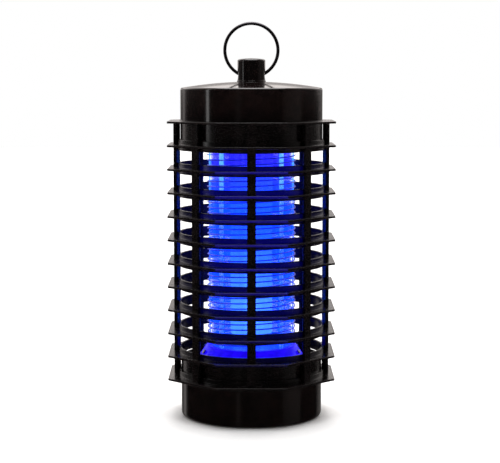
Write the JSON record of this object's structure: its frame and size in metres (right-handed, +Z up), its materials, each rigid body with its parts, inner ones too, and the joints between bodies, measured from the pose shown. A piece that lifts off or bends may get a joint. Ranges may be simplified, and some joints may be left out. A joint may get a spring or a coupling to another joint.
{
  "type": "electric bug zapper",
  "caption": "Hanging electric insect killer: cylindrical louvred cage round a lit lamp with a wound wire grid, a head with a hanging ring, and a twist-off tray.",
  "frame": {"origin": "centre of the tray's flat underside, where the object stands", "axes": "+Z up along the object's axis; -Y is the front; +Y is the back, where the cord inlet is; the hanging ring lies in the XZ plane"},
  "size_m": [0.112, 0.112, 0.2676],
  "materials": {
    "cage_plastic": "glossy black moulded ABS",
    "shell_plastic": "glossy black moulded ABS",
    "screw_steel": "zinc-plated steel",
    "ring_wire": "dark nickel-plated steel wire",
    "rubber": "matt black rubber",
    "board_laminate": "green solder-resist laminate",
    "capacitor_film": "red dipped film capacitor",
    "capacitor_sleeve": "dark shrink sleeve",
    "ferrite": "sintered ferrite and black epoxy",
    "copper_wire": "enamelled copper wire",
    "resistor_body": "lacquered ceramic",
    "fuse_glass": "ceramic fuse tube",
    "terminal_plastic": "green polyamide",
    "lead_insulation": "PVC lead insulation",
    "lamp_plastic": "white PBT",
    "lamp_glass": "ultraviolet lamp glass, lit",
    "blue_sleeve": "clear blue polycarbonate, lit from inside",
    "grid_wire": "drawn steel wire",
    "clear_post": "clear acrylic",
    "blue_lit_plastic": "white plastic under violet-blue light"
  },
  "bodies": {
    "cage": {"louvre_ring_01": "cage_plastic", "louvre_ring_02": "cage_plastic", "louvre_ring_03": "cage_plastic", "louvre_ring_04": "cage_plastic", "louvre_ring_05": "cage_plastic", "louvre_ring_06": "cage_plastic", "louvre_ring_07": "cage_plastic", "louvre_ring_08": "cage_plastic", "louvre_ring_09": "cage_plastic", "louvre_ring_10": "cage_plastic", "louvre_ring_11": "cage_plastic", "louvre_ring_12": "cage_plastic", "cage_ribs": "cage_plastic", "upper_collar": "cage_plastic", "lower_collar": "cage_plastic", "head_deck": "cage_plastic", "deck_pillars": "cage_plastic", "top_cover": "shell_plastic", "head_wall": "shell_plastic", "cover_lip": "shell_plastic", "cover_posts": "shell_plastic", "ring_boss": "shell_plastic", "cover_screws": "screw_steel", "cord_grommet": "rubber", "circuit_board": "board_laminate", "board_screws": "screw_steel", "film_capacitors": "capacitor_film", "smoothing_capacitor": "capacitor_sleeve", "choke_core": "ferrite", "choke_winding": "copper_wire", "diodes": "ferrite", "resistors": "resistor_body", "fuse": "fuse_glass", "terminal_block": "terminal_plastic", "lamp_leads": "lead_insulation", "grid_leads": "lead_insulation", "lamp_socket": "lamp_plastic", "lamp_base": "lamp_plastic", "lamp_tube": "lamp_glass", "lamp_pins": "screw_steel", "light_sleeve": "blue_sleeve", "grid_wire_a": "grid_wire", "grid_wire_b": "grid_wire", "grid_posts": "clear_post", "grid_top_plate": "cage_plastic", "grid_bottom_plate": "blue_lit_plastic", "top_plate_screws": "screw_steel", "bottom_plate_screws": "screw_steel", "wire_end_screws": "screw_steel"},
    "ring": {"hanging_ring": "ring_wire"},
    "seal": {"tray_seal": "rubber"},
    "tray": {"tray": "shell_plastic"}
  },
  "joints": [
    {"name": "ring_swing", "type": "hinge", "parent": "cage", "child": "ring", "pos_m": [0, 0, 0.232], "axis": [1, 0, 0], "range_deg": [-96, 96]},
    {"name": "tray_twist", "type": "hinge", "parent": "cage", "child": "seal", "pos_m": [0, 0, 0.0277], "axis": [0, 0, -1], "range_deg": [0, 30]},
    {"name": "tray_drop", "type": "slide", "parent": "seal", "child": "tray", "axis": [0, 0, -1], "range_m": [0, 0.042]}
  ]
}
